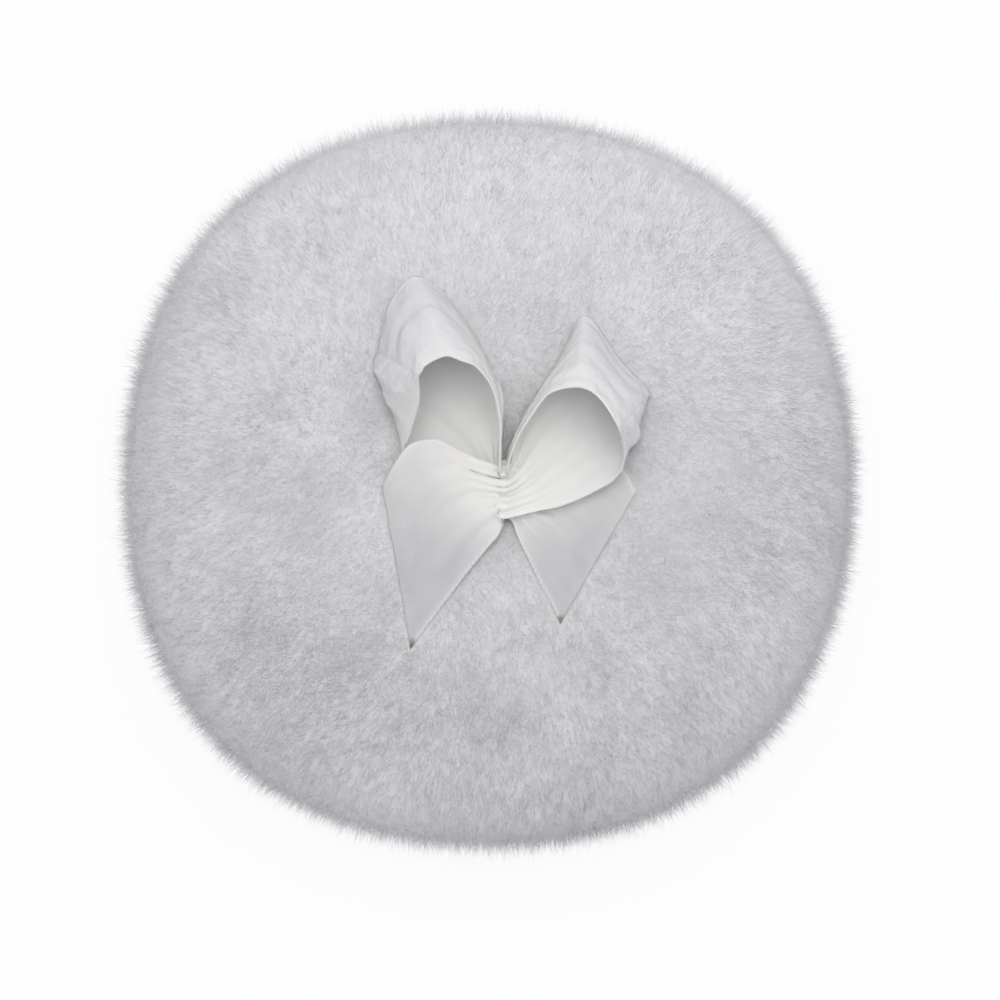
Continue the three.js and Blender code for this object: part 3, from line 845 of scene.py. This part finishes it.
# %% Gathering thread and tack
bow_thread = 0.16 * mm
gather_step, tack_step = 0.07 * mm, 0.08 * mm
turn_spacing = 0.4 * mm
knot_radius = 0.9 * mm
knot_thickness = 1.6 * bow_thread
leg_spacing = 0.3 * mm  # from the knot's middle
times_softened = 6
keys_at_waist = [
    len(left_tail_shares) + 0.5,
    len(left_tail_shares) + len(right_loop_shares) + 2.5,
    len(ribbon_keys) - len(right_tail_shares) - 1.5,
]
layers = [middle[int(key * steps_per_row)] for key in keys_at_waist]
around = np.linspace(layers[0][:, 1].max(), layers[0][:, 1].min(), 60)
heights = np.stack([
    np.interp(around, row[::-1, 1], row[::-1, 2], left=np.nan, right=np.nan) for row in layers
])
off_ribbon = (ribbon_thickness + bow_thread) / 2
over = np.nanmax(heights, axis=0) + off_ribbon
under = np.nanmin(heights, axis=0) - off_ribbon


def round_the_waist(x):
    """A closed turn about the gathered layers: along their highest line, down and back below."""
    above = np.stack([np.full(len(around), bow_x + x), around, over], -1)
    below = np.stack([np.full(len(around), bow_x + x), around, under], -1)[::-1]
    far = (above[:1] + below[-1:]) / 2 + [0, bow_thread, 0]
    near = (above[-1:] + below[:1]) / 2 - [0, bow_thread, 0]
    return np.concatenate([far, above, near, below])


def softened(path):
    """The path with each inner point moved, some times over, to the mean of itself and its two
    neighbours."""
    for _ in range(times_softened):
        path = np.concatenate([path[:1], (path[:-2] + path[1:-1] + path[2:]) / 3, path[-1:]])
    return path


turns = [round_the_waist(side * turn_spacing / 2) for side in (-1, 1)]
gather_path = softened(np.concatenate(turns))
gather = sewn("gathering_thread", gather_path, bow_thread, gather_step, along_x, "bow_thread")
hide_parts("bow_gathering_thread")

inside_share = math.hypot(bow_x, bow_y) / (inside_radius * rim_share(math.atan2(bow_y, bow_x)))
cloth_inside = seam_height + lip_top + inner_crown * crown_at(inside_share) - inner_dimple
knot_height = cloth_inside - 2 * clearance - knot_radius
knot_middle = np.array([[bow_x, bow_y, knot_height]])
tack_turn = round_the_waist(0)[: len(around) + 2]
leg_far, leg_near = (tack_turn[[end]] * [1, 1, 0] + [0, 0, knot_height] for end in (0, -1))
spaced = [0, leg_spacing, 0]
tack_path = np.concatenate(
    [knot_middle + spaced, leg_far, tack_turn, leg_near, knot_middle - spaced]
)
tack_path = softened(even_steps(tack_path, 0.15 * mm)[0])
tack = sewn("tack_thread", tack_path, bow_thread, tack_step, along_x, "bow_thread")
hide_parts("bow_tack_thread")

# %% Knot, a trefoil
knot_turns = np.linspace(0, 2 * np.pi, 260)
knot_path = knot_middle + (knot_radius - bow_thread / 2) / 3 * np.stack([
    np.sin(knot_turns) + 2 * np.sin(2 * knot_turns),
    np.cos(knot_turns) - 2 * np.cos(2 * knot_turns),
    -np.sin(3 * knot_turns),
], -1)
sewn("tack_knot", knot_path[:-3], knot_thickness, tack_step, upright, "bow_thread")

# %% Rim threads
seam_thread = 0.6 * mm
seam_step = 0.3 * mm
turning_gap = 40 * mm
stitch_length = 2.5 * mm
stitch_wave = 0.1 * mm
seam_radius = inside_radius + backing / 2
half_turning_gap = turning_gap / (2 * seam_radius)
thread_ends = (clearance + seam_thread) / seam_radius


def seam_path(start, end, count):
    """The seam's line round the rim, with the small wave of its stitches, between two angles
    from the turning gap's middle, which lies nearest the picture's bottom."""
    angle = np.linspace(start, end, count) - np.pi / 2
    radius = seam_radius * rim_share(angle)
    wave = stitch_wave * np.sin(angle * seam_radius / stitch_length * 2 * np.pi)
    return np.stack([radius * np.cos(angle), radius * np.sin(angle), seam_height + wave], -1)


rim_path = seam_path(half_turning_gap, 2 * np.pi - half_turning_gap, 1400)
rim_thread = sewn("rim_stitching", rim_path, seam_thread, seam_step, upright, "seam_thread")
closing_path = seam_path(thread_ends - half_turning_gap, half_turning_gap - thread_ends, 300)
closing = sewn("closing_stitching", closing_path, seam_thread, seam_step, upright, "seam_thread")
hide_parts("rim_seam_thread")
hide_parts("closing_thread")

# %% [markdown]
# Room under the ribbon
#
# The bow presses the pile flat wherever it lies. Before the hairs are made, the ribbon's lowest
# height is written into a fine map seen from above, and a hair that grows under the ribbon is held
# below that height. A hair that grows beside a tail and leans over it ends above it.

# %% Map of the ribbon
cell = 0.35 * mm
map_low = np.array([-25 * mm, -30 * mm])
map_size = 170
free = 1.0  # a height far above the bow: no ribbon here
rows_left_out = 20  # of each tail, beside the waist


def spread(heights, keep):
    """The map with each cell taking the least (or greatest) of itself and its neighbours."""
    shifts = [np.roll(heights, (dx, dy), axis=(0, 1)) for dx in (-1, 0, 1) for dy in (-1, 0, 1)]
    return keep.reduce(shifts)


def cells(place):
    """The map cell of each place, and whether it is on the map."""
    spot = np.floor((place[..., :2] - map_low) / cell).astype(int)
    inside = ((spot >= 0) & (spot < map_size)).all(axis=-1)
    return np.clip(spot, 0, map_size - 1), inside


lowest = np.full((map_size, map_size), free)
spots, _ = cells(middle)
np.minimum.at(lowest, (spots[..., 0], spots[..., 1]), middle[..., 2])
lowest = spread(lowest, np.minimum)
tail_rows = len(left_tail_shares) * steps_per_row - rows_left_out
tails = np.concatenate([middle[:tail_rows], middle[-tail_rows:]])
tail_top = np.zeros((map_size, map_size))
spots, _ = cells(tails)
np.maximum.at(tail_top, (spots[..., 0], spots[..., 1]), tails[..., 2])
tail_top = spread(tail_top, np.maximum)
print("map cells under the ribbon:", int((lowest < free).sum()))


def ribbon_over(place):
    """The ribbon's lowest height over each place, or the free height."""
    spot, inside = cells(place)
    return np.where(inside, lowest[spot[:, 0], spot[:, 1]], free)


def tail_under(place):
    """The greatest height of a tail's middle surface at each place, or zero."""
    spot, inside = cells(place)
    return np.where(inside, tail_top[spot[:, 0], spot[:, 1]], 0.0)


# %% [markdown]
# The pile
#
# Long plush could be Blender's own hair, but this part has to leave Blender as plain meshes, so
# each hair is a very thin spike: a three-sided foot hidden under the undercoat, and a tip. Roots
# follow a sunflower spiral, which is even without rows. Tips lean with slow waves, as brushed fur
# does, and each hair leans a little its own way. Lengths vary, so that the outline fades instead
# of ending.

# %% Sowing the hairs
golden_angle = np.pi * (3 - math.sqrt(5))
foot_share = 0.74  # how far up from its root a hair's mesh begins
slow_size, quick_size = 26 * mm, 8 * mm
slow_lean, quick_lean, own_lean, outward_lean = 0.15, 0.05, 0.18, 0.2  # shares of the length
mean_reach, reach_spread = 1.03, 0.1
shortest, longest = 0.75, 1.3
rim_droop = 0.08


def sow(count, side, dimple, seed):
    """Root and mean tip of each hair: equal areas of the cloth along a sunflower spiral. At the
    dimple the knit sinks a quarter as far as the tips do."""
    rng = np.random.default_rng(seed)
    fall = np.linspace(0, np.pi / 2, 600)
    line = pillow(fall, 0.0, puff_radius - pile_length, lip_top, inner_crown + backing, 1, 0)
    radius = np.abs(line[:, 0])
    strip = np.linalg.norm(np.diff(line, axis=0), axis=1) * (radius[1:] + radius[:-1]) / 2
    area = np.concatenate([[0], np.cumsum(strip)])
    number = np.arange(count)
    fall_here = np.interp((number + 0.5) / count, area / area[-1], fall)
    angle = number * golden_angle + rng.uniform(-0.02, 0.02, count)
    root = pillow(
        fall_here, angle, puff_radius - pile_length, lip_top, inner_crown + backing, side, dimple / 4
    )
    tip = pillow(
        fall_here, angle, puff_radius, half_gap + parting_depth, outer_crown, side, dimple
    )
    print("hairs on side", side, count, "cloth area", round(area[-1] * 2 * np.pi * 1e4, 1), "cm2")
    return root, tip, rng


def brush(root, tip, side, rng):
    """Lean the hairs and vary their lengths. Returns their feet, their tips and the pad's normal.
    The hairs at the rim also droop and spread over the parting at the seam."""
    stand = tip - root
    long = np.linalg.norm(stand, axis=1, keepdims=True)
    up = stand / long
    slow = np.stack([waves(root, slow_size, 40 + k) for k in range(3)], -1)
    quick = np.stack([waves(root, quick_size, 50 + k) for k in range(3)], -1)
    own = rng.normal(size=root.shape)
    flat = np.linalg.norm(up[:, :2], axis=1, keepdims=True)
    lean = (slow_lean * slow + quick_lean * quick) * (1 - 0.85 * flat) + own_lean * own
    lean += outward_lean * root * [1, 1, 0] / puff_radius
    lean -= (lean * up).sum(axis=1, keepdims=True) * up
    reach = mean_reach + reach_spread * rng.normal(size=(len(root), 1))
    reach = np.clip(reach, shortest, longest)
    start = root + foot_share * stand + 0.3 * lean * long
    end = root + stand * reach + lean * long
    end -= upright * rim_droop * long * flat**2
    end[:, 2] -= side * parting_depth * rng.uniform(0, 2.2, len(root)) * flat[:, 0] ** 12
    return start, end, up


# %% [markdown]
# Light in the pile
#
# A hair is thinner than a pixel, and in real plush light passes on from hair to hair, so the pile
# is lit as one soft surface. Each spike therefore carries normals that are nearly the pad's own,
# with only a little of the hair's roundness.

# %% Hair meshes
hair_width = 0.072 * mm
hair_roundness = 0.12
cloud_size = 18 * mm
slow_shade, own_shade = 0.12, 0.03
hairs_per_piece = 49000
under_ribbon = 0.3 * mm
floor_gap = 0.3 * mm


def spikes(start, end, width, up):
    """Points, faces and normals of many thin spikes: three points round the start, then the tip.
    A normal is the pad's own plus hair_roundness times the way out of the hair."""
    count = len(start)
    run = end - start
    run /= np.linalg.norm(run, axis=1, keepdims=True)
    helper = np.where(np.abs(run[:, [2]]) < 0.8, [[0.0, 0, 1]], [[1.0, 0, 0]])
    sideways = np.cross(run, helper)
    sideways /= np.linalg.norm(sideways, axis=1, keepdims=True)
    other = np.cross(run, sideways)
    turns = 2 * np.pi * np.arange(3)[None, :, None] / 3
    round_hair = np.cos(turns) * sideways[:, None] + np.sin(turns) * other[:, None]
    ring = start[:, None] + width[:, None, None] / 2 * round_hair
    points = np.concatenate([ring, end[:, None]], axis=1).reshape(-1, 3)
    pad = up[:, None]
    normal = np.concatenate([pad + hair_roundness * round_hair, pad], axis=1)
    normal /= np.linalg.norm(normal, axis=-1, keepdims=True)
    pattern = np.array([[0, 2, 1], [0, 1, 3], [1, 2, 3], [2, 0, 3]])
    faces = (np.arange(count)[:, None, None] * 4 + pattern[None]).reshape(-1, 3)
    return points, faces, normal.reshape(-1, 3)


def hair_chart(piece, count):
    """A small cell of the map for each hair, with its four faces side by side in it."""
    across = math.ceil(math.sqrt(count))
    number = np.arange(count)
    corner = np.stack([number % across, number // across], -1)[:, None, None, :]
    quarters = np.array([
        [[0.2, 1], [1.2, 1], [0.7, 0]], [[0.9, 0], [1.9, 0], [1.4, 1]],
        [[1.6, 1], [2.6, 1], [2.1, 0]], [[2.3, 0], [3.3, 0], [2.8, 1]],
    ]) / [3.6, 1.2] + [0, 0.06]
    chart = piece.data.uv_layers.new(name="OFBake")
    chart.data.foreach_set("uv", ((corner + quarters[None]) / across).ravel())


def grow(name, count, side, dimple, seed):
    """Hairs of one cloth, dealt out over pieces of a size that exports whole."""
    root, tip, rng = sow(count, side, dimple, seed)
    start, end, up = brush(root, tip, side, rng)
    if side > 0:
        below = ribbon_over(start)
        start[:, 2] = np.minimum(start[:, 2], below - 2 * under_ribbon)
        above = tail_under(end)
        crossing = (below >= free) & (above > 0)
        stay = np.minimum(end[:, 2], ribbon_over(end) - under_ribbon)
        over = np.maximum(end[:, 2], above + rng.uniform(0.1, 0.6, count) * mm)
        end[:, 2] = np.where(crossing, over, stay)
    for place in (start, end):
        lift = rng.uniform(0.2, 0.9, count) * mm
        place[:, 2] = np.maximum(place[:, 2], floor_gap + lift)
    width = hair_width * rng.uniform(0.7, 1.3, count)
    cloud = waves(root, cloud_size, 81) * slow_shade + rng.normal(size=count) * own_shade
    pieces = math.ceil(count / hairs_per_piece)
    for k in range(pieces):
        pick = slice(k, count, pieces)
        points, faces, normal = spikes(start[pick], end[pick], width[pick], up[pick])
        piece = new_piece(f"{name}_{k + 1}", points, [faces], hair_finish, "plush")
        carry(piece, "custom_normal", normal, "FLOAT_VECTOR", "vector")
        hair_chart(piece, len(faces) // 4)
        carry(piece, "shade", np.repeat(cloud[pick], 4))


# %% [markdown]
# Last pieces
#
# At one place the right hood's selvedge is frayed, with loose thread ends standing out of it. Then
# both cloths get their hairs, the upper one twice as many, because it fills the picture.

# %% Frayed corner
loose_threads = 16
loose_width = 0.09 * mm
frayed_row = int((len(left_tail_shares) + 2 + 6.2) * steps_per_row)  # past the waist's two rows


def fray():
    """Loose thread ends that stand out of the near selvedge at one place."""
    rng = np.random.default_rng(31)
    row = frayed_row + rng.integers(-9, 10, loose_threads)
    start = middle[row, -1]
    out = middle[row, -1] - middle[row, -4]
    out /= np.linalg.norm(out, axis=1, keepdims=True)
    stray = rng.normal(size=start.shape)
    length = rng.uniform(0.3, 0.8, (loose_threads, 1)) * mm
    end = start + (out + 0.7 * stray) * length
    width = np.full(loose_threads, loose_width)
    points, faces, _ = spikes(start, end, width, np.broadcast_to(upright, start.shape))
    new_piece("frayed_threads", points, [faces], thread_finish, "satin")


fray()

# %% Pile on both cloths
grow("top_pile", count=280000, side=1, dimple=dimple_depth, seed=5)
grow("bottom_pile", count=140000, side=-1, dimple=0, seed=6)
